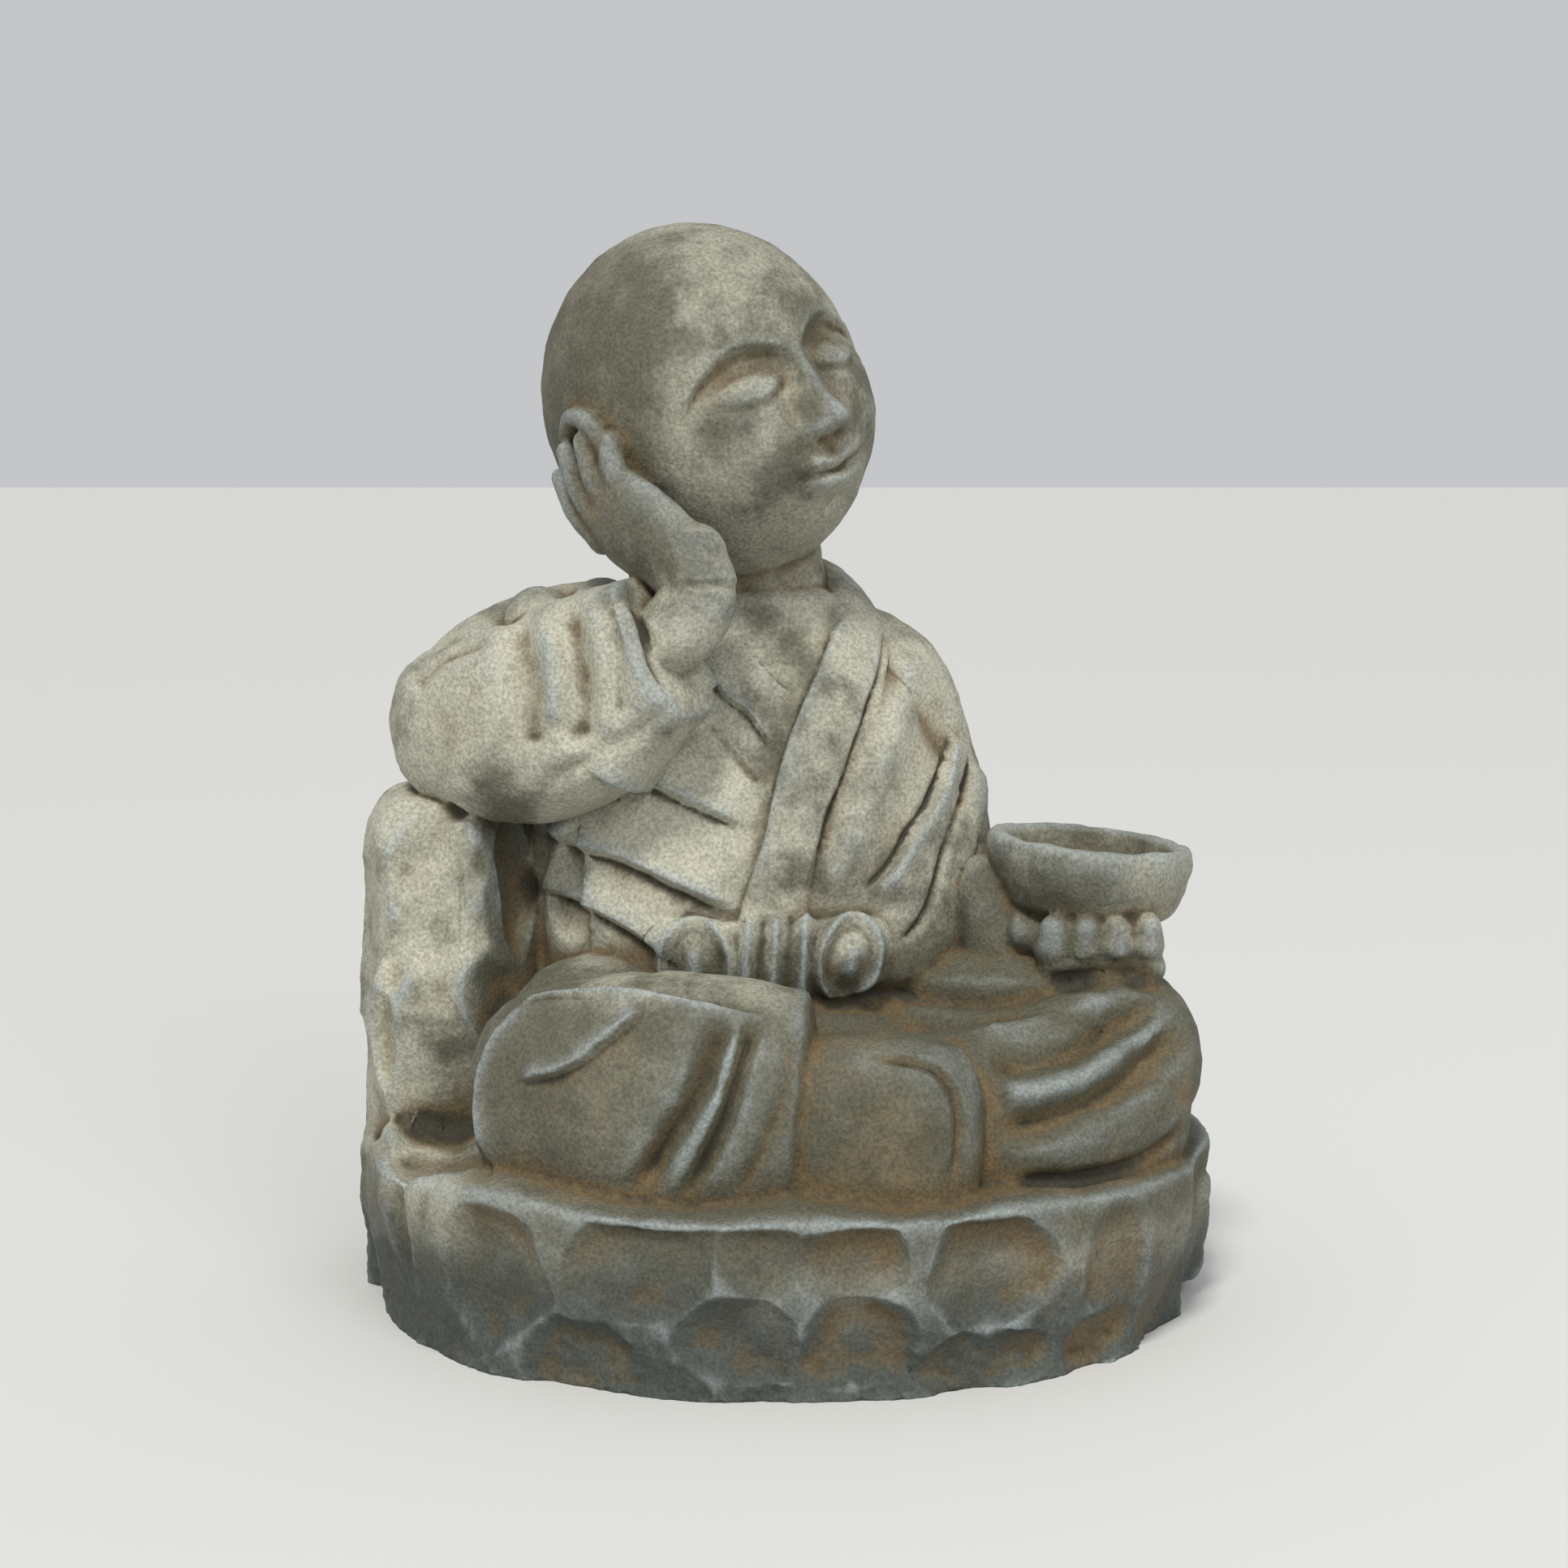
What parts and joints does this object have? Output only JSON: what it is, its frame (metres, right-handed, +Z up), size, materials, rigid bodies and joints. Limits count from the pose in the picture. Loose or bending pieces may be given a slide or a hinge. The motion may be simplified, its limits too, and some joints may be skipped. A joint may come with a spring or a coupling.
{
  "type": "monk statue",
  "caption": "Cast stone garden figure of a shaven-headed monk seated cross-legged on a rock, head propped on one hand and a small bowl on the other.",
  "frame": {"origin": "middle of the flat underside, on the surface that the statue stands on", "axes": "+Z up, -Y the way the seated figure faces, +X towards the figure's left hand, which holds the bowl"},
  "size_m": [0.3385, 0.276, 0.4204],
  "materials": {
    "cast_stone": "matt cast stone, grey-green, with ochre and dark patina in the hollows and pale worn edges"
  },
  "bodies": {
    "root": {"monk_statue": "cast_stone"}
  },
  "joints": []
}
